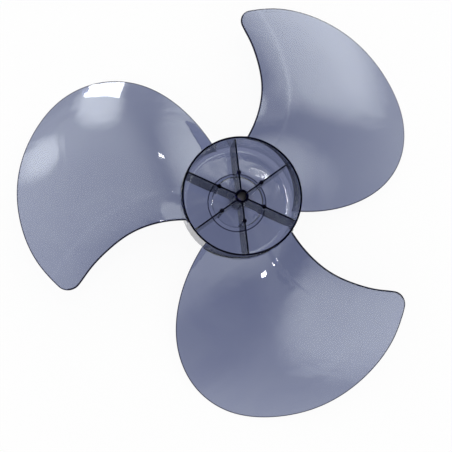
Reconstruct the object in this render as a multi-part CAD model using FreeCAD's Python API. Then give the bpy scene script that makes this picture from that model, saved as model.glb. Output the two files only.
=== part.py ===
"""Pedestal fan blade: three swept blades moulded in one piece with a cup-shaped hub.

Frame: millimetres, +Z towards the motor, which is the open side of the hub and the upper side here.
The origin is on the bore axis, at the motor end of the boss. The part lies on its three blades.
"""
import FreeCAD, Part
import math
import os

from FreeCAD import Vector

NODE = "fan_blade"

# Overall
TIP_RADIUS = 200.0
BLADE_COUNT = 3

# Hub: a drafted cup with its open rim towards the motor
HUB_RADIUS = 53.6
HUB_DEPTH = 39.8
HUB_DRAFT = 1.0
HUB_WALL = 1.7
FRONT_WALL = 2.3
HUB_CORNER = 7.0
INNER_CHAMFER = 4.5
RIM_CHAMFER = 0.5

# Seat for the spinner nut, a round recess with a flared wall in the middle of the front
SEAT_RADIUS = 23.0
SEAT_DEPTH = 4.4
SEAT_FLARE = 3.0
SEAT_WALL = 2.3

# Boss and shaft bore
BORE_RADIUS = 4.0
BORE_LEAD_IN = 0.4
BOSS_RADIUS = 6.1
BOSS_DRAFT = 1.8
BOSS_SET_BACK = 4.3

# Ribs between the boss and the hub wall, and the ejector posts that stand on them
RIB_COUNT = 6
RIB_ANGLE = 36.5
RIB_EDGE = 1.4
RIB_DRAFT = 0.7
RIB_SET_BACK = 5.0
POST_CIRCLE = 22.0
POST_RADIUS = 2.05
POST_SET_BACK = 5.4

# Blade sections on cylinders at the root, half way and the tip. The root runs across the hub wall, from
# a clearance below the rim to one above the front. Depth below the rim and pitch are at the reference angle.
SECTION_ANGLE = 45.0
ROOT_RIM_CLEARANCE = 3.8
ROOT_FRONT_CLEARANCE = 3.7
MID_DEPTH = 18.1
TIP_DEPTH = 50.3
MID_PITCH_ANGLE = 12.2
TIP_PITCH_ANGLE = 12.9
ROOT_CAMBER_RADIUS = 142.0
MID_CAMBER_RADIUS = 430.0
TIP_CAMBER_RADIUS = 2050.0
ROOT_THICKNESS = 2.4
TIP_THICKNESS = 1.8
ROOT_BEAD = 0.9
BEAD_BITE = 0.4
BEAD_END_ANGLE = 3.0

# Thicker band along the leading edge, with a low step that fades towards the tip
BAND_WIDTH = 27.5
BAND_ROOT_STEP = 0.35
BAND_TIP_STEP = 0.1
BAND_ROOT_ANGLE = 58.0
BAND_END = (1.05, 90.0)

# Outline in plan: share of the span from hub to tip, and angle in degrees
LEADING_ROOT_ANGLE = 89.0
LEADING_EDGE = [(0.09, 81.0), (0.22, 79.2), (0.34, 80.0), (0.50, 83.3), (0.65, 87.1)]
HORN_CENTRE = (0.773, 85.7)
HORN_RADIUS = 12.0
HORN_START_ANGLE = 202.0
HORN_END_ANGLE = 107.0
OUTER_EDGE = [(0.912, 78.9), (0.967, 68.0), (1.0, 53.9), (0.982, 39.9), (0.927, 28.2)]
TRAILING_EDGE = [(0.817, 18.5), (0.627, 8.9), (0.392, 1.2), (0.137, -5.0)]
TRAILING_ROOT_ANGLE = -8.5

# How far the cutting solids reach past what they cut, and the stations of the blade's smooth faces
ROOT_OVERLAP = 6.0
MARGIN = 12.0
ALONG_STATIONS = 7
ACROSS_STATIONS = 8
BEAD_STATIONS = 7

RIM_Z = BOSS_SET_BACK
FRONT_Z = RIM_Z - HUB_DEPTH
SEAT_Z = FRONT_Z + SEAT_DEPTH
SPAN = TIP_RADIUS - HUB_RADIUS
LEADING_ARC = HUB_RADIUS * math.radians(LEADING_ROOT_ANGLE - SECTION_ANGLE)
TRAILING_ARC = HUB_RADIUS * math.radians(TRAILING_ROOT_ANGLE - SECTION_ANGLE)
ROOT_FALL = HUB_DEPTH - ROOT_RIM_CLEARANCE - ROOT_FRONT_CLEARANCE
ROOT_BEND = 1 / ROOT_CAMBER_RADIUS
ROOT_SLOPE = ROOT_FALL / (LEADING_ARC - TRAILING_ARC) + ROOT_BEND * (LEADING_ARC + TRAILING_ARC) / 2
ROOT_DEPTH = ROOT_RIM_CLEARANCE + ROOT_SLOPE * LEADING_ARC - ROOT_BEND * LEADING_ARC ** 2 / 2
MID_SLOPE = math.tan(math.radians(MID_PITCH_ANGLE))
TIP_SLOPE = math.tan(math.radians(TIP_PITCH_ANGLE))
AXIS = Vector(0, 0, 1)
ORIGIN = Vector(0, 0, 0)


def polar(radius, angle, z=0.0):
    """Point at a radius and an angle in degrees about the bore axis."""
    turn = math.radians(angle)
    return Vector(radius * math.cos(turn), radius * math.sin(turn), z)


def span_radius(share):
    return HUB_RADIUS + share * SPAN


def along_span(root, mid, tip, share):
    """Value on the parabola through the root, half-way and tip values."""
    return (root * (1 - share) * (1 - 2 * share)
            + mid * 4 * share * (1 - share)
            + tip * share * (2 * share - 1))


def turned(profile):
    """Solid of revolution of a closed profile of edges in the XZ plane."""
    return Part.Face(Part.Wire(profile)).revolve(ORIGIN, AXIS, 360)


def rounded_profile(corners):
    """Edges of a closed profile; each corner is (radius, z, rounding)."""
    points = [Vector(r, 0, z) for r, z, _ in corners]
    count = len(points)
    starts = []
    ends = []
    middles = []
    for i, (_, _, rounding) in enumerate(corners):
        here = points[i]
        back = (points[i - 1] - here).normalize()
        ahead = (points[(i + 1) % count] - here).normalize()
        half = back.getAngle(ahead) / 2
        reach = rounding / math.tan(half)
        inward = (back + ahead).normalize()
        starts.append(here + back * reach)
        ends.append(here + ahead * reach)
        middles.append(here + inward * (rounding / math.sin(half) - rounding))
    edges = []
    for i, (_, _, rounding) in enumerate(corners):
        if rounding > 0:
            edges.append(Part.Arc(starts[i], middles[i], ends[i]).toShape())
        edges.append(Part.LineSegment(ends[i], starts[(i + 1) % count]).toShape())
    return edges


def wall_radius(z):
    """Outer radius of the drafted hub wall, before the front corner is rounded."""
    return HUB_RADIUS - (RIM_Z - z) * math.tan(math.radians(HUB_DRAFT))


def outside_radius(z):
    """Outer radius of the hub with its front corner rounded."""
    below = min(max(FRONT_Z + HUB_CORNER - z, 0), HUB_CORNER)
    return wall_radius(z) - HUB_CORNER + math.sqrt(HUB_CORNER ** 2 - below ** 2)


def hub_envelope(inset=0.0):
    """Outside of the hub, solid inside, with the spinner seat; an inset takes it into the wall."""
    front_z = FRONT_Z + inset
    seat_z = SEAT_Z + inset
    seat_radius = SEAT_RADIUS + inset
    mouth_radius = seat_radius + SEAT_FLARE
    return turned(rounded_profile([
        (0, RIM_Z, 0),
        (HUB_RADIUS - RIM_CHAMFER - inset, RIM_Z, 0),
        (HUB_RADIUS - inset, RIM_Z - RIM_CHAMFER, 0),
        (wall_radius(front_z) - inset, front_z, HUB_CORNER - inset),
        (mouth_radius, front_z, 0),
        (seat_radius, seat_z, 0),
        (0, seat_z, 0),
    ]))


def hub_hollow():
    """Inside of the cup, one wall thickness in from the envelope."""
    floor_z = FRONT_Z + FRONT_WALL
    seat_floor_z = SEAT_Z + FRONT_WALL
    rise = FRONT_WALL * SEAT_FLARE / SEAT_DEPTH
    step_radius = SEAT_RADIUS + SEAT_WALL - rise
    top_z = RIM_Z + MARGIN
    chamfer_z = floor_z + INNER_CHAMFER
    return turned(rounded_profile([
        (0, top_z, 0),
        (wall_radius(top_z) - HUB_WALL, top_z, 0),
        (wall_radius(chamfer_z) - HUB_WALL, chamfer_z, 0),
        (wall_radius(floor_z) - HUB_WALL - INNER_CHAMFER, floor_z, 0),
        (step_radius + SEAT_FLARE, floor_z, 0),
        (step_radius, seat_floor_z, 0),
        (0, seat_floor_z, 0),
    ]))


def rib(angle):
    """One drafted radial rib from the axis out to the hub wall."""
    top_z = RIM_Z - RIB_SET_BACK
    growth = (top_z - FRONT_Z) * math.tan(math.radians(RIB_DRAFT))
    half_top = RIB_EDGE / 2
    half_foot = half_top + growth
    section = Part.makePolygon([
        Vector(0, -half_top, top_z), Vector(0, half_top, top_z),
        Vector(0, half_foot, FRONT_Z), Vector(0, -half_foot, FRONT_Z),
        Vector(0, -half_top, top_z)])
    solid = Part.Face(section).extrude(Vector(HUB_RADIUS, 0, 0))
    return solid.rotate(ORIGIN, AXIS, angle)


def post(angle):
    """One ejector post, standing on a rib."""
    height = RIM_Z - POST_SET_BACK - SEAT_Z
    return Part.makeCylinder(POST_RADIUS, height, polar(POST_CIRCLE, angle, SEAT_Z))


def boss():
    """Drafted boss round the bore, wider towards the front."""
    height = -SEAT_Z
    foot = BOSS_RADIUS + height * math.tan(math.radians(BOSS_DRAFT))
    return Part.makeCone(foot, BOSS_RADIUS, height, Vector(0, 0, SEAT_Z))


def bore():
    """Through bore with a lead-in at the front end."""
    wide = BORE_RADIUS + BORE_LEAD_IN
    hole = Part.makeCylinder(BORE_RADIUS, 2 * MARGIN - SEAT_Z, Vector(0, 0, SEAT_Z - MARGIN))
    return hole.fuse(Part.makeCone(wide, BORE_RADIUS, BORE_LEAD_IN, Vector(0, 0, SEAT_Z)))


def blade_height(share, angle):
    """Height of the blade's middle surface: pitch and camber along the arc from the reference angle."""
    depth = along_span(ROOT_DEPTH, MID_DEPTH, TIP_DEPTH, share)
    slope = along_span(ROOT_SLOPE, MID_SLOPE, TIP_SLOPE, share)
    bend = along_span(ROOT_BEND, 1 / MID_CAMBER_RADIUS, 1 / TIP_CAMBER_RADIUS, share)
    arc = span_radius(share) * math.radians(angle - SECTION_ANGLE)
    return RIM_Z - depth + slope * arc - bend * arc * arc / 2


def half_thickness(share):
    return (ROOT_THICKNESS + (TIP_THICKNESS - ROOT_THICKNESS) * share) / 2


def band_step(share):
    return BAND_ROOT_STEP + (BAND_TIP_STEP - BAND_ROOT_STEP) * share


def plan_points(pairs):
    return [polar(span_radius(share), angle) for share, angle in pairs]


def plan_spline(points, start=None, end=None):
    """Smooth curve through plan points, with a set direction at its start or end if one is given."""
    directions = [start or AXIS] + [AXIS] * (len(points) - 2) + [end or AXIS]
    flags = [d != AXIS for d in directions]
    curve = Part.BSplineCurve()
    curve.interpolate(Points=points, Tangents=directions, TangentFlags=flags)
    return curve.toShape()


def tower(edges):
    """Upright solid over a closed plan outline, tall enough to hold the whole part."""
    low = FRONT_Z - TIP_RADIUS
    wire = Part.Wire(edges)
    wire.translate(Vector(0, 0, low))
    return Part.Face(wire).extrude(Vector(0, 0, 2 * TIP_RADIUS))


def blade_outline():
    """Closed plan outline: concave leading edge, rounded horn, outer and trailing edge, root in the hub."""
    centre = polar(span_radius(HORN_CENTRE[0]), HORN_CENTRE[1])
    horn_start = centre + polar(HORN_RADIUS, HORN_START_ANGLE)
    horn_middle = centre + polar(HORN_RADIUS, (HORN_START_ANGLE + HORN_END_ANGLE) / 2)
    horn_end = centre + polar(HORN_RADIUS, HORN_END_ANGLE)
    inner = HUB_RADIUS - ROOT_OVERLAP
    leading = [polar(inner, LEADING_ROOT_ANGLE)] + plan_points(LEADING_EDGE) + [horn_start]
    trailing = [horn_end] + plan_points(OUTER_EDGE + TRAILING_EDGE) + [polar(inner, TRAILING_ROOT_ANGLE)]
    return [
        plan_spline(leading, end=polar(1, HORN_START_ANGLE - 90)),
        Part.Arc(horn_start, horn_middle, horn_end).toShape(),
        plan_spline(trailing, start=polar(1, HORN_END_ANGLE - 90)),
        Part.LineSegment(trailing[-1], leading[0]).toShape(),
    ]


def blade_face(offset_at):
    """Smooth face over a rectangle larger than the blade, offset from its middle surface."""
    plan = Part.Wire(blade_outline())
    plan.rotate(ORIGIN, AXIS, -SECTION_ANGLE)
    box = plan.BoundBox
    first = box.XMin - ROOT_OVERLAP
    along_step = (box.XMax + MARGIN - first) / (ALONG_STATIONS - 1)
    side = box.YMin - MARGIN
    across_step = (box.YMax + MARGIN - side) / (ACROSS_STATIONS - 1)
    rows = []
    for i in range(ALONG_STATIONS):
        row = []
        for j in range(ACROSS_STATIONS):
            along = first + along_step * i
            across = side + across_step * j
            radius = math.hypot(along, across)
            angle = SECTION_ANGLE + math.degrees(math.atan2(across, along))
            share = (radius - HUB_RADIUS) / SPAN
            row.append(polar(radius, angle, blade_height(share, angle) + offset_at(share)))
        rows.append(row)
    surface = Part.BSplineSurface()
    surface.interpolate(rows)
    return surface.toShape()


def behind_band():
    """Plan area of the blade behind the band, starting inside the hub."""
    inner = HUB_RADIUS - ROOT_OVERLAP
    line = [polar(inner, BAND_ROOT_ANGLE)]
    for share, angle in LEADING_EDGE:
        radius = span_radius(share)
        line.append(polar(radius, angle - math.degrees(BAND_WIDTH / radius)))
    line.append(polar(span_radius(BAND_END[0]), BAND_END[1]))
    far = 2 * TIP_RADIUS
    past_root = 2 * TRAILING_ROOT_ANGLE
    corners = [line[-1], polar(far, SECTION_ANGLE), polar(far, past_root), polar(inner, past_root)]
    sides = [Part.LineSegment(a, b).toShape() for a, b in zip(corners, corners[1:])]
    middle = polar(inner, (past_root + BAND_ROOT_ANGLE) / 2)
    return [plan_spline(line)] + sides + [Part.Arc(corners[-1], middle, line[0]).toShape()]


def blade():
    """First blade: the slab between two smooth faces, cut to the outline and thinned behind the band."""
    tall = Vector(0, 0, TIP_RADIUS)
    under = blade_face(lambda share: -half_thickness(share))
    over = blade_face(lambda share: half_thickness(share) + band_step(share))
    slab = tower(blade_outline()).common(under.extrude(tall)).common(over.extrude(-tall))
    thinned = blade_face(half_thickness).extrude(tall).common(tower(behind_band()))
    return slab.cut(thinned)


def root_bead(side):
    """Sloped bead along the first blade's root, on its rear face (side 1) or its front face (-1)."""
    first = TRAILING_ROOT_ANGLE + BEAD_END_ANGLE
    step = (LEADING_ROOT_ANGLE - BEAD_END_ANGLE - first) / (BEAD_STATIONS - 1)
    rise = half_thickness(0) + ROOT_BEAD
    sections = []
    for i in range(BEAD_STATIONS):
        angle = first + step * i
        root_z = blade_height(0, angle)
        top_z = root_z + side * (rise + BEAD_BITE)
        inner = outside_radius(top_z) - BEAD_BITE
        corner = polar(inner, angle, root_z)
        top = polar(inner, angle, top_z)
        toe = polar(outside_radius(root_z) + rise, angle, root_z)
        sections.append(Part.makePolygon([corner, top, toe, corner]))
    return Part.makeLoft(sections, True)


def pattern(solid, count):
    return [solid.copy().rotate(ORIGIN, AXIS, 360.0 * i / count) for i in range(count)]


def fan():
    blades = [blade(), root_bead(1), root_bead(-1)]
    body = hub_envelope().fuse([solid for piece in blades for solid in pattern(piece, BLADE_COUNT)])
    inner = boss().fuse(pattern(rib(RIB_ANGLE), RIB_COUNT) + pattern(post(RIB_ANGLE), RIB_COUNT))
    inner = inner.common(hub_envelope(HUB_WALL / 2))
    return body.cut(hub_hollow()).fuse(inner).cut(bore()).removeSplitter()


os.makedirs("parts", exist_ok=True)
shape = fan()
print("valid", shape.isValid(), "solids", len(shape.Solids), "volume cm3 %.1f" % (shape.Volume / 1000))
shape.Solids[0].exportStep(os.path.join("parts", NODE + ".step"))
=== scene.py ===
"""Looks of the pedestal fan blade: smoky transparent plastic on a white floor, seen from above.

The piece drawn here has the form of the solid it stands for, with the edges and corners rounded as moulded.
"""

import math

import bpy
import numpy as np
from mathutils import Matrix, Quaternion, Vector
from mathutils.geometry import delaunay_2d_cdt

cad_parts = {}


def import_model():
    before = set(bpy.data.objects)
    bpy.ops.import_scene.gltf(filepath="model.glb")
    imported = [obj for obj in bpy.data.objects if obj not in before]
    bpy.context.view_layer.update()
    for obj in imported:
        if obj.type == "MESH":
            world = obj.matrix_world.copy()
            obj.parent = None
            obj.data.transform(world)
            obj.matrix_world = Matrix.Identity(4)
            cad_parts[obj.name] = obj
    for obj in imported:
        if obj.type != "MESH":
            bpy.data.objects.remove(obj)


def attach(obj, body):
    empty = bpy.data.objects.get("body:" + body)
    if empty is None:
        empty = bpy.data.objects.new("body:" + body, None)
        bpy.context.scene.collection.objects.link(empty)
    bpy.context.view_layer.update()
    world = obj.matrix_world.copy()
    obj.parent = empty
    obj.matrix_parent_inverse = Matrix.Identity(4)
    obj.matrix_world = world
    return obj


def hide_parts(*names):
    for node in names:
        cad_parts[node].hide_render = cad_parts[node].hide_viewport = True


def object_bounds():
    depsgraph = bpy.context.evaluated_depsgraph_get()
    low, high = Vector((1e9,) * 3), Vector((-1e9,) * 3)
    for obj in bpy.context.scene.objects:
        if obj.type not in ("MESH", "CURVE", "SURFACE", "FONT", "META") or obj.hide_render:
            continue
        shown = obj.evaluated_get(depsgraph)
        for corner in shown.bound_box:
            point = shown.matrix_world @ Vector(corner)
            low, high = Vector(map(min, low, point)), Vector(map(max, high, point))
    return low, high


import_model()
cad_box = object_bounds()

MM = 0.001
NODE = "fan_blade"

# Sizes of the part, as in its source, in millimetres and degrees
TIP_RADIUS = 200.0
BLADE_COUNT = 3
HUB_RADIUS = 53.6
HUB_DEPTH = 39.8
HUB_DRAFT = 1.0
HUB_WALL = 1.7
FRONT_WALL = 2.3
HUB_CORNER = 7.0
INNER_CORNER = 4.5
SEAT_RADIUS = 23.0
SEAT_DEPTH = 4.4
SEAT_FLARE = 3.0
SEAT_WALL = 2.3
BORE_RADIUS = 4.0
BORE_LEAD_IN = 0.4
BOSS_RADIUS = 6.1
BOSS_DRAFT = 1.8
BOSS_SET_BACK = 4.3
RIB_COUNT = 6
RIB_ANGLE = 36.5
RIB_EDGE = 1.4
RIB_DRAFT = 0.7
RIB_SET_BACK = 5.0
POST_CIRCLE = 22.0
POST_RADIUS = 2.05
POST_SET_BACK = 5.4
SECTION_ANGLE = 45.0
ROOT_RIM_CLEARANCE = 3.8
ROOT_FRONT_CLEARANCE = 3.7
MID_DEPTH = 18.1
TIP_DEPTH = 50.3
MID_PITCH_ANGLE = 12.2
TIP_PITCH_ANGLE = 12.9
ROOT_CAMBER_RADIUS = 142.0
MID_CAMBER_RADIUS = 430.0
TIP_CAMBER_RADIUS = 2050.0
ROOT_THICKNESS = 2.4
TIP_THICKNESS = 1.8
BAND_WIDTH = 27.5
BAND_ROOT_STEP = 0.35
BAND_TIP_STEP = 0.1
BAND_ROOT_ANGLE = 58.0
BAND_END = (1.05, 90.0)
LEADING_ROOT_ANGLE = 89.0
LEADING_EDGE = [(0.09, 81.0), (0.22, 79.2), (0.34, 80.0), (0.50, 83.3), (0.65, 87.1)]
HORN_CENTRE = (0.773, 85.7)
HORN_RADIUS = 12.0
HORN_START_ANGLE = 202.0
HORN_END_ANGLE = 107.0
OUTER_EDGE = [(0.912, 78.9), (0.967, 68.0), (1.0, 53.9), (0.982, 39.9), (0.927, 28.2)]
TRAILING_EDGE = [(0.817, 18.5), (0.627, 8.9), (0.392, 1.2), (0.137, -5.0)]
TRAILING_ROOT_ANGLE = -8.5
ROOT_OVERLAP = 6.0

# Roundings that the moulded piece has on its edges
EDGE_ROUND = 0.4
RIM_ROUND = 0.75
RIB_ROUND = 0.62
POST_ROUND = 0.45
BOSS_ROUND = 0.35
STEP_ROUND = 0.35
ROOT_FILLET = 0.8
# How far the root fillet bites into wall and blade, and how far it ends from the blade's edges
FILLET_BITE = 0.3
FILLET_INSET = 2 * ROOT_FILLET
# Half the width of the soft step behind the leading band
STEP_SOFTNESS = 0.5

# Dark line of painted shade along an edge, in place of the dark that light gets at the plastic's edges: solid
# width and end of its fade
LEADING_SHADE = (1.1, 1.7)
TRAILING_SHADE = (0.8, 1.2)
RING_SHADE = (0.45, 0.85)
# Depth of the painted shade on the tops of the rim, the ribs, the posts and the boss
TOP_SHADE = 1.1
# Wall of the bore, matte and darkened with painted shade: how far past the bore's radius its points may lie
MATTE_REACH = 0.05

# Points of the blade's outline, and of how many the distance to it takes one
LINE_SPACING = 0.2
LINE_STRIDE = 6
# Fineness of the mesh
EDGE_SPACING = 1.3
GRID_SPACING = 3.0
EDGE_CLEARANCE = 0.6 * GRID_SPACING
STEP_CLEARANCE = STEP_SOFTNESS + 0.5 * GRID_SPACING
MERGE_DISTANCE = 1e-6
HORN_POINTS = 120
HUB_SEGMENTS = 192
POST_SEGMENTS = 28
FILLET_STATIONS = 48
# Steps of a rounding's quarter turn; a rounding past the large radius has twice as many
ROUND_STEPS = 4
LARGE_ROUND = 3.5
# Distance of the points that keep a side's shading flat, and the least side that has them
GUARD = 0.35
GUARDED_SIDE = 6 * GUARD
SHARP_ANGLE = 33.0

# Places and slopes that follow from the sizes
RIM_Z = BOSS_SET_BACK
FRONT_Z = RIM_Z - HUB_DEPTH
SEAT_Z = FRONT_Z + SEAT_DEPTH
FLOOR_Z = FRONT_Z + FRONT_WALL
SEAT_FLOOR_Z = SEAT_Z + FRONT_WALL
STEP_RADIUS = SEAT_RADIUS + SEAT_WALL - FRONT_WALL * SEAT_FLARE / SEAT_DEPTH
SPAN = TIP_RADIUS - HUB_RADIUS
LEADING_ARC = HUB_RADIUS * math.radians(LEADING_ROOT_ANGLE - SECTION_ANGLE)
TRAILING_ARC = HUB_RADIUS * math.radians(TRAILING_ROOT_ANGLE - SECTION_ANGLE)
ROOT_FALL = HUB_DEPTH - ROOT_RIM_CLEARANCE - ROOT_FRONT_CLEARANCE
ROOT_BEND = 1 / ROOT_CAMBER_RADIUS
ROOT_SLOPE = ROOT_FALL / (LEADING_ARC - TRAILING_ARC) + ROOT_BEND * (LEADING_ARC + TRAILING_ARC) / 2
ROOT_DEPTH = ROOT_RIM_CLEARANCE + ROOT_SLOPE * LEADING_ARC - ROOT_BEND * LEADING_ARC ** 2 / 2
MID_SLOPE = math.tan(math.radians(MID_PITCH_ANGLE))
TIP_SLOPE = math.tan(math.radians(TIP_PITCH_ANGLE))

# Plastic: clear, with a smoky blue-violet tint that deepens along the light's path
ABSORB_COLOUR = (0.02, 0.09, 0.345)
ABSORB_DENSITY = 870.0
PLASTIC_IOR = 1.57
# Painted shade on the marked edges, tops, seat foot and bore wall: a near-black tint and a weak reflection,
# in place of the dark the light gets there
EDGE_SHADE_TINT = (0.001, 0.0005, 0.014)
EDGE_SHADE_GLOSS = (0.01, 0.01, 0.08)
FLOW_SCALE = 14.0
FLOW_DETAIL = 2.0
FLOW_DISTORTION = 1.5
FLOW_TINTS = ((0.3, (0.93, 0.93, 0.97)), (0.7, (1.0, 1.0, 1.0)))
HAZE_SCALE = 90.0
HAZE_DETAIL = 4.0
ROUGHNESS = (0.02, 0.07)
BORE_ROUGHNESS = 0.6
WAVE_HEIGHT = 0.0006

# Floor, with its size and gap in metres: its own shade and the share of plain white over it
FLOOR_HALF = 6.0
FLOOR_GAP = 0.0002
FLOOR_COLOUR = (0.9, 0.9, 0.9)
FLOOR_ROUGHNESS = 0.9
WHITE_SHARE = 0.93
# Tinted shade under the hub: its centre and (distance from it, colour)
SHADE_CENTRE = (5.0, 8.0)
HUB_SHADE = (
    (6.5, (0.02, 0.015, 0.08)),
    (10.5, (0.58, 0.57, 0.62)),
    (15.0, (0.85, 0.85, 0.87)),
    (28.0, (0.95, 0.95, 0.96)),
    (45.0, (1.0, 1.0, 1.0)),
)

# Room: its soft light, and the pale walls it shows, with what is brighter or darker as
# (azimuth, elevation, full within, none beyond, added level); the first is the pale horizon
ROOM_LEVEL = 0.85
WALL_LEVEL = 0.6
WALL_COLOUR = (0.95, 1.0, 0.98)
PATCHES = (
    (0.0, -90.0, 104.0, 135.0, 0.46),
    (107.0, 17.0, 3.0, 14.0, 4.5),
    (137.0, 21.0, 1.0, 10.0, 3.9),
    (45.0, 28.0, 8.0, 32.0, 4.0),
    (5.0, 30.0, 8.0, 40.0, 0.5),
    (45.0, 60.0, 5.0, 14.0, 0.9),
    (128.0, 45.0, 14.0, 42.0, 1.9),
    (-50.0, 57.0, 8.0, 30.0, 2.9),
    (66.0, 68.0, 6.0, 9.6, 2.4),
    (0.0, 90.0, 11.3, 13.0, -0.5),
    (-145.0, 44.0, 12.0, 32.0, -0.6),
)
# Lamps, in degrees and metres: name, azimuth, elevation, width, height, turn about its own axis, brightness
LAMP_DISTANCE = 2.0
LAMPS = (
    ("window", 106.5, 10.1, 0.57, 0.25, -25.5, 12.0),
    ("spot_a", 80.0, 36.0, 0.10, 0.03, 0.0, 30.0),
    ("spot_b", -163.0, 69.5, 0.07, 0.10, 0.0, 45.0),
    ("ceiling", 92.0, 79.5, 0.15, 0.15, 0.0, 40.0),
    ("hub_a", 52.9, 72.9, 0.012, 0.022, -35.0, 22.0),
    ("hub_b", 49.2, 72.9, 0.016, 0.012, -35.0, 12.0),
)

# Camera of the photograph, in the part's frame
CAMERA_AT = Vector((-111.6, -150.2, 779.2)) * MM
CAMERA_RIGHT = Vector((0.99230, 0.0, 0.12386))
CAMERA_UP = Vector((-0.019188, 0.98793, 0.153727))
CAMERA_AHEAD = Vector((0.122365, 0.15492, -0.980323))
CAMERA_LENS = 72.06
SENSOR = 36.0
CLIP_START = 0.01


def polar(radius, angle):
    turn = np.radians(angle)
    return np.stack([radius * np.cos(turn), radius * np.sin(turn)], axis=-1)


def to_polar(points):
    return np.hypot(points[:, 0], points[:, 1]), np.degrees(np.arctan2(points[:, 1], points[:, 0]))


def along_span(root, mid, tip, share):
    """Value at a share of the span, on the parabola through the values at root, middle and tip."""
    return (root * (1 - share) * (1 - 2 * share)
            + mid * 4 * share * (1 - share)
            + tip * share * (2 * share - 1))


def share_of(radius):
    return (radius - HUB_RADIUS) / SPAN


def span_points(pairs):
    return [polar(HUB_RADIUS + share * SPAN, angle) for share, angle in pairs]


def blade_height(radius, angle):
    """Height of the blade's middle surface at plan points."""
    share = share_of(radius)
    depth = along_span(ROOT_DEPTH, MID_DEPTH, TIP_DEPTH, share)
    slope = along_span(ROOT_SLOPE, MID_SLOPE, TIP_SLOPE, share)
    bend = along_span(ROOT_BEND, 1 / MID_CAMBER_RADIUS, 1 / TIP_CAMBER_RADIUS, share)
    arc = radius * np.radians(angle - SECTION_ANGLE)
    return RIM_Z - depth + slope * arc - bend * arc * arc / 2


def half_thickness(share):
    return (ROOT_THICKNESS + (TIP_THICKNESS - ROOT_THICKNESS) * share) / 2


def wall_radius(z):
    return HUB_RADIUS - (RIM_Z - z) * math.tan(math.radians(HUB_DRAFT))


def outside_radius(z):
    below = np.clip(FRONT_Z + HUB_CORNER - z, 0, HUB_CORNER)
    return wall_radius(z) - HUB_CORNER + np.sqrt(HUB_CORNER ** 2 - below ** 2)


def root_radius(angle):
    """Radius at which a blade ends, inside the hub wall."""
    low = blade_height(HUB_RADIUS, angle) - half_thickness(0)
    return outside_radius(low) - HUB_WALL / 2


def end_slope(knots, points):
    """Slope at the first of four points of the cubic through them."""
    return np.polyfit(knots - knots[0], points, 3)[2]


def spline(points, spacing, start=None, end=None):
    """Dense points on the smooth curve through plan points; the direction at an end may be given."""
    points = np.array(points, float)
    steps = np.linalg.norm(np.diff(points, axis=0), axis=1)
    knots = np.concatenate([[0], np.cumsum(steps)])
    count = len(points)
    first = end_slope(knots[:4], points[:4])
    last = end_slope(knots[-4:][::-1], points[-4:][::-1])
    if start is not None:
        first = start * np.linalg.norm(first)
    if end is not None:
        last = end * np.linalg.norm(last)
    matrix = np.eye(count)
    right = np.zeros((count, 2))
    right[0] = first
    right[-1] = last
    for i in range(1, count - 1):
        before = steps[i - 1]
        after = steps[i]
        matrix[i, i - 1:i + 2] = 1 / before, 2 / before + 2 / after, 1 / after
        right[i] = 3 * ((points[i] - points[i - 1]) / before ** 2 + (points[i + 1] - points[i]) / after ** 2)
    slopes = np.linalg.solve(matrix, right)
    at = np.linspace(0, knots[-1], max(int(knots[-1] / spacing), 4))
    piece = np.clip(np.searchsorted(knots, at, side="right") - 1, 0, count - 2)
    width = steps[piece]
    t = ((at - knots[piece]) / width)[:, None]
    return ((2 * t ** 3 - 3 * t ** 2 + 1) * points[piece]
            + (t ** 3 - 2 * t ** 2 + t) * slopes[piece] * width[:, None]
            + (3 * t ** 2 - 2 * t ** 3) * points[piece + 1]
            + (t ** 3 - t ** 2) * slopes[piece + 1] * width[:, None])


def edge_line():
    """First blade's free edge in plan, from leading to trailing root, and the place of the horn's middle."""
    inner = HUB_RADIUS - ROOT_OVERLAP
    horn_turn = np.linspace(HORN_START_ANGLE, HORN_END_ANGLE, HORN_POINTS)
    horn = span_points([HORN_CENTRE])[0] + polar(HORN_RADIUS, horn_turn)
    to_horn = [polar(inner, LEADING_ROOT_ANGLE)] + span_points(LEADING_EDGE)
    from_horn = span_points(OUTER_EDGE + TRAILING_EDGE) + [polar(inner, TRAILING_ROOT_ANGLE)]
    leading = spline(to_horn + [horn[0]], LINE_SPACING, end=polar(1, HORN_START_ANGLE - 90))
    trailing = spline([horn[-1]] + from_horn, LINE_SPACING, start=polar(1, HORN_END_ANGLE - 90))
    return np.concatenate([leading, horn[1:-1], trailing]), len(leading) + len(horn) // 2


def lengths(line):
    return np.concatenate([[0], np.cumsum(np.linalg.norm(np.diff(line, axis=0), axis=1))])


def resampled(line, count):
    along = lengths(line)
    at = np.linspace(0, along[-1], count)
    return np.stack([np.interp(at, along, line[:, k]) for k in (0, 1)], axis=-1)


def outside_hub(line):
    """The part of a line beyond the radius at which blades end, with its two ends on that radius."""
    radius, angle = to_polar(line)
    past = radius - root_radius(angle)
    first = np.argmax(past > 0)
    last = len(past) - np.argmax(past[::-1] > 0) - 1
    ends = []
    for a, b in ((first - 1, first), (last + 1, last)):
        part = past[a] / (past[a] - past[b])
        ends.append(line[a] + (line[b] - line[a]) * part)
    return np.concatenate([[ends[0]], line[first:last + 1], [ends[1]]])


def inside(points, polygon):
    """Which plan points lie inside a polygon."""
    x = points[:, 0][:, None]
    y = points[:, 1][:, None]
    ax, ay = polygon.T
    bx, by = np.roll(polygon, -1, axis=0).T
    crosses = (ay > y) != (by > y)
    with np.errstate(divide="ignore", invalid="ignore"):
        at = ax + (y - ay) * (bx - ax) / (by - ay)
    return np.sum(crosses & (x < at), axis=1) % 2 == 1


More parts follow.
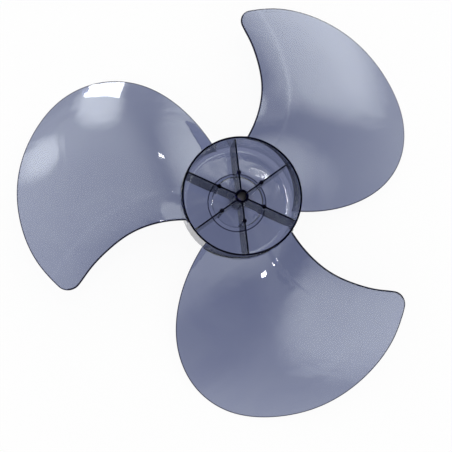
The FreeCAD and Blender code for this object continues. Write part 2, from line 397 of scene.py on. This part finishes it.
def nearest(points, line):
    """Distance of plan points from a line, positive on its left, and the line's nearest piece."""
    starts = line[:-1]
    runs = np.diff(line, axis=0)
    rel = points[:, None] - starts
    t = np.clip(np.sum(rel * runs, axis=2) / np.sum(runs ** 2, axis=1), 0, 1)
    away = rel - t[..., None] * runs
    distance = np.linalg.norm(away, axis=2)
    best = np.argmin(distance, axis=1)
    rows = np.arange(len(points))
    side = runs[best, 0] * rel[rows, best, 1] - runs[best, 1] * rel[rows, best, 0]
    return distance[rows, best] * np.sign(side), best


def band_line():
    """Plan line of the step behind the leading band, from the root out."""
    points = [polar(HUB_RADIUS - ROOT_OVERLAP, BAND_ROOT_ANGLE)]
    for share, angle in LEADING_EDGE:
        radius = HUB_RADIUS + share * SPAN
        points.append(polar(radius, angle - math.degrees(BAND_WIDTH / radius)))
    points += span_points([BAND_END])
    return spline(points, EDGE_SPACING)


def shifted(line, distance):
    """A line moved sideways, to its left."""
    run = np.gradient(line, axis=0)
    run /= np.linalg.norm(run, axis=1)[:, None]
    return line + distance * np.stack([-run[:, 1], run[:, 0]], axis=-1)


def blade_rings():
    """Plan lines along the first blade's free edge, outline first, and how far each is below the faces."""
    line, _ = edge_line()
    count = int(lengths(line)[-1] / EDGE_SPACING)
    turns = np.linspace(0, math.pi / 2, ROUND_STEPS + 1)
    levels = [(EDGE_ROUND * (1 - math.cos(t)), EDGE_ROUND * (1 - math.sin(t))) for t in turns]
    # Two flat rings where the painted shade along the edges ends its fade
    levels += [(TRAILING_SHADE[1], 0.0), (LEADING_SHADE[1], 0.0)]
    rings = [resampled(outside_hub(shifted(line, -reach)), count) for reach, _ in levels]
    return rings, [sink for _, sink in levels]


def blade_border(ring):
    """Closed plan polygon of a blade's faces: the innermost ring, then the root inside the hub wall."""
    _, (low, high) = to_polar(ring[[-1, 0]])
    angles = np.linspace(low, high, int(HUB_RADIUS * math.radians(high - low) / EDGE_SPACING))[1:-1]
    return np.concatenate([ring, polar(root_radius(angles), angles)])


def lattice(polygon):
    """Points of a triangular lattice inside a plan polygon."""
    least = polygon.min(axis=0)
    most = polygon.max(axis=0)
    rows = []
    for k, y in enumerate(np.arange(least[1], most[1], GRID_SPACING * math.sqrt(3) / 2)):
        x = np.arange(least[0] + k % 2 * GRID_SPACING / 2, most[0], GRID_SPACING)
        rows.append(np.column_stack([x, np.full(len(x), y)]))
    points = np.concatenate(rows)
    return points[inside(points, polygon)]


def blade_plan(polygon, crease):
    """Plan points and triangles of a blade's face, and the places of the polygon's points among them."""
    around = np.concatenate([polygon, polygon[:1]])
    rails = []
    for distance in (-STEP_SOFTNESS, 0.0, STEP_SOFTNESS):
        rail = shifted(crease, distance)
        clear = inside(rail, polygon) & (np.abs(nearest(rail, around)[0]) > EDGE_SPACING)
        rails.append(rail[clear])
    grid = lattice(polygon)
    clear = np.abs(nearest(grid, around)[0]) > EDGE_CLEARANCE
    clear &= np.abs(nearest(grid, crease)[0]) > STEP_CLEARANCE

    flat = [Vector(p) for p in np.concatenate([polygon] + rails + [grid[clear]])]
    size = len(polygon)
    edges = [(i, (i + 1) % size) for i in range(size)]
    start = size
    for rail in rails:
        edges += [(start + i, start + i + 1) for i in range(len(rail) - 1)]
        start += len(rail)
    found, _, triangles, origins, _, _ = delaunay_2d_cdt(flat, edges, [], 1, MERGE_DISTANCE)
    place = {origin: k for k, sources in enumerate(origins) for origin in sources}
    return np.array([tuple(v) for v in found]), triangles, [place[i] for i in range(size)]


def face_heights(points, crease, sink):
    """Heights of a blade's rear and front face at plan points, each sunk into the blade."""
    radius, angle = to_polar(points)
    share = share_of(radius)
    step = BAND_ROOT_STEP + (BAND_TIP_STEP - BAND_ROOT_STEP) * share
    t = np.clip((nearest(points, crease)[0] / STEP_SOFTNESS + 1) / 2, 0, 1)
    on_band = t * t * (3 - 2 * t)
    middle = blade_height(radius, angle) + step * on_band
    half = half_thickness(share)
    return middle + half - sink, middle - half + sink


def blade_mesh():
    """Vertices and faces of the first blade, closed, with rounded edges and a soft step behind its band."""
    rings, sinks = blade_rings()
    count = len(rings[0])
    polygon = blade_border(rings[-1])
    crease = band_line()
    plan, triangles, border = blade_plan(polygon, crease)
    vertices = []
    faces = []

    def add(points, z):
        first = len(vertices)
        vertices.extend((x, y, h) for (x, y), h in zip(points, z))
        return first

    over, under = face_heights(plan, crease, 0.0)
    over_first = add(plan, over)
    under_first = add(plan, under)
    for a, b, c in triangles:
        faces.append((over_first + a, over_first + b, over_first + c))
        faces.append((under_first + c, under_first + b, under_first + a))
    chains = {}
    for name, first in (("over", over_first), ("under", under_first)):
        chains[name] = [[first + place for place in border[:count]]]
    for ring, sink in list(zip(rings, sinks))[-2::-1]:
        for name, z in zip(("over", "under"), face_heights(ring, crease, sink)):
            first = add(ring, z)
            chains[name].append(list(range(first, first + count)))
    for i in range(count - 1):
        faces.append((chains["over"][-1][i], chains["over"][-1][i + 1],
                      chains["under"][-1][i + 1], chains["under"][-1][i]))
    for name in chains:
        for inner, outer in zip(chains[name], chains[name][1:]):
            for i in range(count - 1):
                quad = (inner[i], inner[i + 1], outer[i + 1], outer[i])
                faces.append(quad if name == "over" else quad[::-1])
    ends = {}
    for name, first in (("over", over_first), ("under", under_first)):
        down = [chain[-1] for chain in chains[name][::-1]]
        across = [first + place for place in border[count:]]
        up = [chain[0] for chain in chains[name]]
        ends[name] = down + across + up
    for i in range(len(ends["over"]) - 1):
        quad = (ends["over"][i], ends["over"][i + 1], ends["under"][i + 1], ends["under"][i])
        faces.append(quad)
    return np.array(vertices), faces


def rounded(corners):
    """Points of a closed profile; each corner is (radius, z, rounding)."""
    points = [np.array(c[:2], float) for c in corners]
    count = len(points)
    profile = []
    for i, (_, _, rounding) in enumerate(corners):
        here = points[i]
        if rounding == 0:
            profile.append(here)
            continue
        back = points[i - 1] - here
        back /= np.linalg.norm(back)
        ahead = points[(i + 1) % count] - here
        ahead /= np.linalg.norm(ahead)
        half = math.acos(np.clip(back @ ahead, -1, 1)) / 2
        reach = rounding / math.tan(half)
        bisector = (back + ahead) / np.linalg.norm(back + ahead)
        centre = here + bisector * rounding / math.sin(half)
        first = here + back * reach - centre
        last = here + ahead * reach - centre
        sweep = math.pi - 2 * half
        turn = math.copysign(sweep, first[0] * last[1] - first[1] * last[0])
        pieces = max(int(math.ceil(ROUND_STEPS * sweep / (math.pi / 2))), 2)
        if rounding > LARGE_ROUND:
            pieces *= 2
        for k in range(pieces + 1):
            c = math.cos(turn * k / pieces)
            s = math.sin(turn * k / pieces)
            profile.append(centre + np.array([first[0] * c - first[1] * s, first[0] * s + first[1] * c]))
    return guarded(profile)


def guarded(profile):
    """A closed profile with points near both ends of each long side, which keep that side's shading flat."""
    points = []
    for here, there in zip(profile, profile[1:] + profile[:1]):
        points.append(here)
        run = there - here
        length = np.linalg.norm(run)
        if length > GUARDED_SIDE:
            step = run * GUARD / length
            points += [here + step, here + 2 * step, there - 2 * step, there - step]
    return np.array(points)


def lathe(profile, segments):
    """Closed ring turned from a profile that runs anticlockwise in radius and height."""
    vertices = []
    for k in range(segments):
        turn = 2 * math.pi * k / segments
        vertices.extend((r * math.cos(turn), r * math.sin(turn), z) for r, z in profile)
    size = len(profile)
    faces = []
    for k in range(segments):
        here = k * size
        there = (k + 1) % segments * size
        for i in range(size):
            j = (i + 1) % size
            faces.append((here + i, there + i, there + j, here + j))
    return np.array(vertices), faces


def hub_mesh():
    """The hub cup with its boss, bore and spinner seat."""
    boss_foot = BOSS_RADIUS + (RIM_Z - BOSS_SET_BACK - SEAT_FLOOR_Z) * math.tan(math.radians(BOSS_DRAFT))
    return lathe(rounded([
        (BORE_RADIUS, 0, BOSS_ROUND),
        (BORE_RADIUS, SEAT_Z + BORE_LEAD_IN, 0),
        (BORE_RADIUS + BORE_LEAD_IN, SEAT_Z, 0),
        (SEAT_RADIUS, SEAT_Z, STEP_ROUND),
        (SEAT_RADIUS + SEAT_FLARE, FRONT_Z, STEP_ROUND),
        (wall_radius(FRONT_Z), FRONT_Z, HUB_CORNER),
        (wall_radius(RIM_Z), RIM_Z, RIM_ROUND),
        (wall_radius(RIM_Z) - HUB_WALL, RIM_Z, RIM_ROUND),
        (wall_radius(FLOOR_Z) - HUB_WALL, FLOOR_Z, INNER_CORNER),
        (STEP_RADIUS + SEAT_FLARE, FLOOR_Z, STEP_ROUND),
        (STEP_RADIUS, SEAT_FLOOR_Z, STEP_ROUND),
        (boss_foot, SEAT_FLOOR_Z, STEP_ROUND),
        (BOSS_RADIUS, 0, BOSS_ROUND),
    ]), HUB_SEGMENTS)


def loft(sections):
    """Closed solid through sections of equal point counts, capped at both ends."""
    size = len(sections[0])
    vertices = np.concatenate(sections)
    faces = [tuple(range(size))[::-1]]
    for k in range(len(sections) - 1):
        for i in range(size):
            j = (i + 1) % size
            faces.append((k * size + i, k * size + j, (k + 1) * size + j, (k + 1) * size + i))
    last = (len(sections) - 1) * size
    faces.append(tuple(last + i for i in range(size)))
    return vertices, faces


def rounded_top(reach, top, rounding):
    """Points (distance out, height) of a rounded top edge, from the side up."""
    turns = np.linspace(0, math.pi / 2, ROUND_STEPS + 1)
    return [(reach - rounding * (1 - math.cos(t)), top - rounding * (1 - math.sin(t))) for t in turns]


def rib_mesh():
    """One rib along +X with a rounded top edge, sunk a little into the boss, the floor and the wall."""
    sunk = FRONT_WALL / 2
    top = RIM_Z - RIB_SET_BACK
    half = RIB_EDGE / 2
    wall = wall_radius(FLOOR_Z) - HUB_WALL
    stations = [
        ((BORE_RADIUS + BOSS_RADIUS) / 2, SEAT_FLOOR_Z - sunk),
        (STEP_RADIUS, SEAT_FLOOR_Z - sunk),
        (STEP_RADIUS + SEAT_FLARE, FLOOR_Z - sunk),
        (wall - INNER_CORNER, FLOOR_Z - sunk),
        (wall + HUB_WALL / 2, FLOOR_Z + INNER_CORNER - sunk),
    ]
    side = rounded_top(half, top, RIB_ROUND)
    sections = []
    for radius, foot in stations:
        spread = half + (top - foot) * math.tan(math.radians(RIB_DRAFT))
        ring = [(-spread, foot), (spread, foot)] + side + [(-y, z) for y, z in side[::-1]]
        ring = guarded([np.array(point) for point in ring])
        sections.append(np.array([(radius, y, z) for y, z in ring]))
    return loft(sections)


def post_mesh():
    """One round post on +X with a rounded top edge."""
    foot = SEAT_FLOOR_Z - FRONT_WALL / 2
    top = RIM_Z - POST_SET_BACK
    levels = [(POST_RADIUS, foot), (POST_RADIUS, top - POST_ROUND - GUARD)]
    levels += rounded_top(POST_RADIUS, top, POST_ROUND)
    around = np.arange(POST_SEGMENTS) * 2 * math.pi / POST_SEGMENTS
    sections = []
    for radius, z in levels:
        x = POST_CIRCLE + radius * np.cos(around)
        sections.append(np.column_stack([x, radius * np.sin(around), np.full(POST_SEGMENTS, z)]))
    return loft(sections)


def fillet_mesh(side):
    """Hollow fillet along the first blade's root, on its rear face (side 1) or its front face (-1)."""
    inset = math.degrees(FILLET_INSET / HUB_RADIUS)
    half = half_thickness(0)
    sections = []
    for angle in np.linspace(TRAILING_ROOT_ANGLE + inset, LEADING_ROOT_ANGLE - inset, FILLET_STATIONS):
        level = blade_height(HUB_RADIUS, angle)
        face = level + side * half
        wall = outside_radius(face + side * ROOT_FILLET)
        out = blade_height(wall + ROOT_FILLET, angle) + side * half
        inner = wall - FILLET_BITE
        ring = [(inner, face - side * FILLET_BITE), (inner, face + side * ROOT_FILLET)]
        for t in np.linspace(0, math.pi / 2, ROUND_STEPS + 2):
            drop = (1 - math.sin(t)) * (face + side * ROOT_FILLET) + math.sin(t) * out
            ring.append((wall + ROOT_FILLET * (1 - math.cos(t)), drop))
        ring.append((wall + ROOT_FILLET, out - side * FILLET_BITE))
        if side < 0:
            ring = ring[::-1]
        plan = polar(np.array([r for r, _ in ring]), angle)
        sections.append(np.column_stack([plan, [z for _, z in ring]]))
    return loft(sections)


def turned_copies(mesh, count, start=0.0):
    """The same closed mesh repeated about the axis, as one mesh."""
    vertices, faces = mesh
    every = []
    joined = []
    for k in range(count):
        turn = math.radians(start + 360.0 * k / count)
        c = math.cos(turn)
        s = math.sin(turn)
        base = k * len(vertices)
        every.append(np.column_stack([vertices[:, 0] * c - vertices[:, 1] * s,
                                      vertices[:, 0] * s + vertices[:, 1] * c, vertices[:, 2]]))
        joined += [tuple(base + i for i in face) for face in faces]
    return np.concatenate(every), joined


def mesh_object(name, mesh):
    """New object from vertices, in millimetres, and faces."""
    vertices, faces = mesh
    data = bpy.data.meshes.new(name)
    data.from_pydata([tuple(v * MM) for v in vertices], [], faces)
    data.validate()
    obj = bpy.data.objects.new(name, data)
    bpy.context.scene.collection.objects.link(obj)
    return obj


def united(base, other):
    """Joins another closed mesh into the base's."""
    join = base.modifiers.new("join", "BOOLEAN")
    join.operation = "UNION"
    join.solver = "MANIFOLD"
    join.object = other
    whole = bpy.data.meshes.new_from_object(base.evaluated_get(bpy.context.evaluated_depsgraph_get()))
    base.modifiers.clear()
    base.data = whole
    bpy.data.objects.remove(other)


def fade(distance, line):
    """1 within a line's solid width, 0 beyond its fade."""
    return np.clip((line[1] - distance) / (line[1] - line[0]), 0, 1)


def matte_places(points):
    """1 on the wall of the bore, which is taken as matte and is also given painted shade, 0 elsewhere."""
    radius, _ = to_polar(points[:, :2])
    return (radius < BORE_RADIUS + MATTE_REACH).astype(float)


def shade_paint_amounts(points):
    """How much painted shade each point gets: blade edges, the rim, the tops inside the hub, the seat's foot
    and the bore.
    """
    radius, angle = to_polar(points[:, :2])
    z = points[:, 2]
    in_hub = radius < wall_radius(RIM_Z) - HUB_WALL - GUARD
    rim = np.clip((z - RIM_Z + TOP_SHADE) / GUARD, 0, 1)
    tops = in_hub * np.clip((z - RIM_Z + RIB_SET_BACK + TOP_SHADE) / GUARD, 0, 1)
    foot = np.hypot(radius - STEP_RADIUS - SEAT_FLARE, z - FLOOR_Z)
    ring = fade(foot, RING_SHADE)
    value = np.maximum.reduce([rim, tops, ring, matte_places(points)])
    line, horn_middle = edge_line()
    pitch = 360.0 / BLADE_COUNT
    first = (LEADING_ROOT_ANGLE + TRAILING_ROOT_ANGLE - pitch) / 2
    for k in range(BLADE_COUNT):
        turned = np.mod(angle - first, 360.0) // pitch == k
        rows = np.nonzero(turned & (radius > HUB_RADIUS + GUARD))[0]
        plan = polar(radius[rows], angle[rows] - k * pitch)
        distance, piece = nearest(plan, line[::LINE_STRIDE])
        distance = np.abs(distance)
        leading = piece < horn_middle / LINE_STRIDE
        on_edge = np.where(leading, fade(distance, LEADING_SHADE), fade(distance, TRAILING_SHADE))
        value[rows] = np.maximum(value[rows], on_edge)
    return value


def fan():
    """The part as one closed mesh, with its places of painted shade and its matte places marked, in its
    plastic.
    """
    obj = mesh_object("fan_blade_clear", hub_mesh())
    for name, mesh in (
            ("blades", turned_copies(blade_mesh(), BLADE_COUNT)),
            ("rear_fillets", turned_copies(fillet_mesh(1), BLADE_COUNT)),
            ("front_fillets", turned_copies(fillet_mesh(-1), BLADE_COUNT)),
            ("ribs", turned_copies(rib_mesh(), RIB_COUNT, RIB_ANGLE)),
            ("posts", turned_copies(post_mesh(), RIB_COUNT, RIB_ANGLE))):
        united(obj, mesh_object(name, mesh))
    obj.data.name = "fan_blade_clear"
    spots = np.empty(len(obj.data.vertices) * 3)
    obj.data.vertices.foreach_get("co", spots)
    spots = spots.reshape(-1, 3) / MM
    # Mark the painted shade and the matte bore wall on the mesh's points
    for name, values in (("painted_shade_mark", shade_paint_amounts(spots)), ("matte", matte_places(spots))):
        obj.data.attributes.new(name, "FLOAT", "POINT").data.foreach_set("value", values)
    for face in obj.data.polygons:
        face.use_smooth = True
    obj.data.set_sharp_from_angle(angle=math.radians(SHARP_ANGLE))
    obj.data.materials.clear()
    obj.data.materials.append(plastic())
    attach(obj, "root")
    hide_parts(NODE)


def node(tree, kind, **values):
    """New shader node with the given properties."""
    made = tree.nodes.new(kind)
    for name, value in values.items():
        setattr(made, name, value)
    return made


def noise(tree, scale, detail, distortion=0.0):
    """Value of a noise texture in the part's own space."""
    made = node(tree, "ShaderNodeTexNoise")
    made.inputs["Scale"].default_value = scale
    made.inputs["Detail"].default_value = detail
    made.inputs["Distortion"].default_value = distortion
    tree.links.new(node(tree, "ShaderNodeTexCoord").outputs["Object"], made.inputs["Vector"])
    return made.outputs["Fac"]


def marked(tree, attribute, plain, changed):
    """Colour or value that changes where the mesh's attribute is 1; plain is a socket, or None for white."""
    is_colour = isinstance(changed, tuple)
    kind = "RGBA" if is_colour else "VALUE"
    mix = node(tree, "ShaderNodeMix", data_type="RGBA" if is_colour else "FLOAT")
    first, second = [entry for entry in mix.inputs if entry.type == kind][-2:]
    second.default_value = (*changed, 1.0) if is_colour else changed
    if plain is None:
        first.default_value = (1.0, 1.0, 1.0, 1.0)
    else:
        tree.links.new(plain, first)
    mark = node(tree, "ShaderNodeAttribute", attribute_name=attribute)
    tree.links.new(mark.outputs["Fac"], mix.inputs[0])
    return [entry for entry in mix.outputs if entry.type == kind][0]


def plastic():
    """Clear moulded plastic: tinted inside, faintly wavy outside, with painted shade along its edges and in
    its bore.
    """
    material = bpy.data.materials.new("smoky_plastic")
    material.use_nodes = True
    tree = material.node_tree
    link = tree.links.new
    shader = tree.nodes["Principled BSDF"]
    shader.inputs["Transmission Weight"].default_value = 1.0
    shader.inputs["IOR"].default_value = PLASTIC_IOR

    flow = noise(tree, FLOW_SCALE, FLOW_DETAIL, FLOW_DISTORTION)
    tint = node(tree, "ShaderNodeValToRGB")
    for stop, (at, colour) in zip(tint.color_ramp.elements, FLOW_TINTS):
        stop.position = at
        stop.color = (*colour, 1.0)
    link(flow, tint.inputs["Fac"])
    # Painted shade: where marked, the base colour goes near black and the reflection weak
    link(marked(tree, "painted_shade_mark", tint.outputs["Color"], EDGE_SHADE_TINT), shader.inputs["Base Color"])
    link(marked(tree, "painted_shade_mark", None, EDGE_SHADE_GLOSS), shader.inputs["Specular Tint"])

    gloss = node(tree, "ShaderNodeMapRange")
    gloss.inputs["To Min"].default_value = ROUGHNESS[0]
    gloss.inputs["To Max"].default_value = ROUGHNESS[1]
    link(noise(tree, HAZE_SCALE, HAZE_DETAIL), gloss.inputs["Value"])
    link(marked(tree, "matte", gloss.outputs["Result"], BORE_ROUGHNESS), shader.inputs["Roughness"])
    bump = node(tree, "ShaderNodeBump")
    bump.inputs["Strength"].default_value = 1.0
    bump.inputs["Distance"].default_value = WAVE_HEIGHT
    link(flow, bump.inputs["Height"])
    link(bump.outputs["Normal"], shader.inputs["Normal"])

    inside_tint = node(tree, "ShaderNodeVolumeAbsorption")
    inside_tint.inputs["Color"].default_value = (*ABSORB_COLOUR, 1.0)
    inside_tint.inputs["Density"].default_value = ABSORB_DENSITY
    link(inside_tint.outputs["Volume"], tree.nodes["Material Output"].inputs["Volume"])
    return material


def seen_ray(tree):
    """1 for what the camera sees, straight or by gloss or through clear plastic; 0 for other light."""
    path = node(tree, "ShaderNodeLightPath")
    seen = path.outputs["Is Camera Ray"]
    for name in ("Is Glossy Ray", "Is Transmission Ray"):
        either = node(tree, "ShaderNodeMath", operation="MAXIMUM")
        tree.links.new(seen, either.inputs[0])
        tree.links.new(path.outputs[name], either.inputs[1])
        seen = either.outputs[0]
    return seen


def floor_material():
    """Pale floor: white where it is seen, shaded under the hub, with a share of its own lit shade."""
    material = bpy.data.materials.new("pale_floor")
    material.use_nodes = True
    tree = material.node_tree
    link = tree.links.new
    lit = tree.nodes["Principled BSDF"]
    lit.inputs["Base Color"].default_value = (*FLOOR_COLOUR, 1.0)
    lit.inputs["Roughness"].default_value = FLOOR_ROUGHNESS
    white = node(tree, "ShaderNodeEmission")
    away = node(tree, "ShaderNodeVectorMath", operation="LENGTH")
    link(node(tree, "ShaderNodeTexCoord").outputs["Object"], away.inputs[0])
    reach = HUB_SHADE[-1][0]
    near = node(tree, "ShaderNodeMath", operation="DIVIDE")
    near.inputs[1].default_value = reach * MM
    link(away.outputs["Value"], near.inputs[0])
    shade = node(tree, "ShaderNodeValToRGB")
    stops = shade.color_ramp.elements
    while len(stops) < len(HUB_SHADE):
        stops.new(1.0)
    for stop, (distance, colour) in zip(stops, HUB_SHADE):
        stop.position = distance / reach
        stop.color = (*colour, 1.0)
    link(near.outputs[0], shade.inputs["Fac"])
    link(shade.outputs["Color"], white.inputs["Color"])
    share = node(tree, "ShaderNodeMath", operation="MULTIPLY")
    share.inputs[1].default_value = WHITE_SHARE
    mix = node(tree, "ShaderNodeMixShader")
    link(seen_ray(tree), share.inputs[0])
    link(share.outputs[0], mix.inputs[0])
    link(lit.outputs[0], mix.inputs[1])
    link(white.outputs[0], mix.inputs[2])
    link(mix.outputs[0], tree.nodes["Material Output"].inputs["Surface"])
    return material


def floor(level):
    """Floor at a height, with its own centre where the shade's is."""
    corners = [(x * FLOOR_HALF, y * FLOOR_HALF, 0) for x, y in ((-1, -1), (1, -1), (1, 1), (-1, 1))]
    data = bpy.data.meshes.new("floor")
    data.from_pydata(corners, [], [(0, 1, 2, 3)])
    obj = bpy.data.objects.new("floor", data)
    obj.location = (SHADE_CENTRE[0] * MM, SHADE_CENTRE[1] * MM, level)
    bpy.context.scene.collection.objects.link(obj)
    data.materials.append(floor_material())


def direction(azimuth, elevation):
    """Unit vector from the part towards an azimuth and elevation."""
    turn = math.radians(azimuth)
    rise = math.radians(elevation)
    return Vector((math.cos(rise) * math.cos(turn), math.cos(rise) * math.sin(turn), math.sin(rise)))


def lamp(name, azimuth, elevation, width, height, turn, radiance):
    """Soft box in the given direction from the part, turned to it; radiance 1 is as bright as white paper."""
    data = bpy.data.lights.new(name, "AREA")
    data.shape = "RECTANGLE"
    data.size = width
    data.size_y = height
    data.energy = radiance * math.pi * width * height
    ahead = direction(azimuth, elevation)
    obj = bpy.data.objects.new(name, data)
    obj.location = ahead * LAMP_DISTANCE
    facing = (-ahead).to_track_quat("-Z", "Y") @ Quaternion((0, 0, 1), math.radians(turn))
    obj.rotation_euler = facing.to_euler()
    bpy.context.scene.collection.objects.link(obj)


def camera():
    """Camera in the photograph's place."""
    data = bpy.data.cameras.new("camera")
    data.sensor_width = SENSOR
    data.lens = CAMERA_LENS
    data.clip_start = CLIP_START
    obj = bpy.data.objects.new("camera", data)
    rows = zip(CAMERA_RIGHT, CAMERA_UP, -CAMERA_AHEAD, CAMERA_AT)
    obj.matrix_world = Matrix([*rows, (0, 0, 0, 1)])
    bpy.context.scene.collection.objects.link(obj)
    bpy.context.scene.camera = obj


def world():
    """Soft room light; eye, gloss and clear plastic see pale walls with brighter and darker soft patches."""
    studio = bpy.data.worlds.new("studio")
    bpy.context.scene.world = studio
    studio.use_nodes = True
    tree = studio.node_tree
    link = tree.links.new
    way = node(tree, "ShaderNodeTexCoord").outputs["Generated"]
    total = None
    for azimuth, elevation, full, none, strength in PATCHES:
        toward = node(tree, "ShaderNodeVectorMath", operation="DOT_PRODUCT")
        toward.inputs[1].default_value = direction(azimuth, elevation)
        link(way, toward.inputs[0])
        patch = node(tree, "ShaderNodeMapRange", interpolation_type="SMOOTHSTEP")
        patch.inputs["From Min"].default_value = math.cos(math.radians(none))
        patch.inputs["From Max"].default_value = math.cos(math.radians(full))
        patch.inputs["To Max"].default_value = strength
        link(toward.outputs["Value"], patch.inputs["Value"])
        added = node(tree, "ShaderNodeMath", operation="ADD")
        added.inputs[1].default_value = WALL_LEVEL
        link(patch.outputs["Result"], added.inputs[0])
        if total is not None:
            link(total, added.inputs[1])
        total = added.outputs[0]
    room = tree.nodes["Background"]
    room.inputs["Color"].default_value = (1.0, 1.0, 1.0, 1.0)
    room.inputs["Strength"].default_value = ROOM_LEVEL
    walls = node(tree, "ShaderNodeBackground")
    walls.inputs["Color"].default_value = (*WALL_COLOUR, 1.0)
    link(total, walls.inputs["Strength"])
    mix = node(tree, "ShaderNodeMixShader")
    link(seen_ray(tree), mix.inputs[0])
    link(room.outputs[0], mix.inputs[1])
    link(walls.outputs[0], mix.inputs[2])
    link(mix.outputs[0], tree.nodes["World Output"].inputs["Surface"])


fan()
floor(cad_box[0][2] - FLOOR_GAP)
for entry in LAMPS:
    lamp(*entry)
world()
camera()
bpy.context.scene.view_settings.view_transform = "Standard"
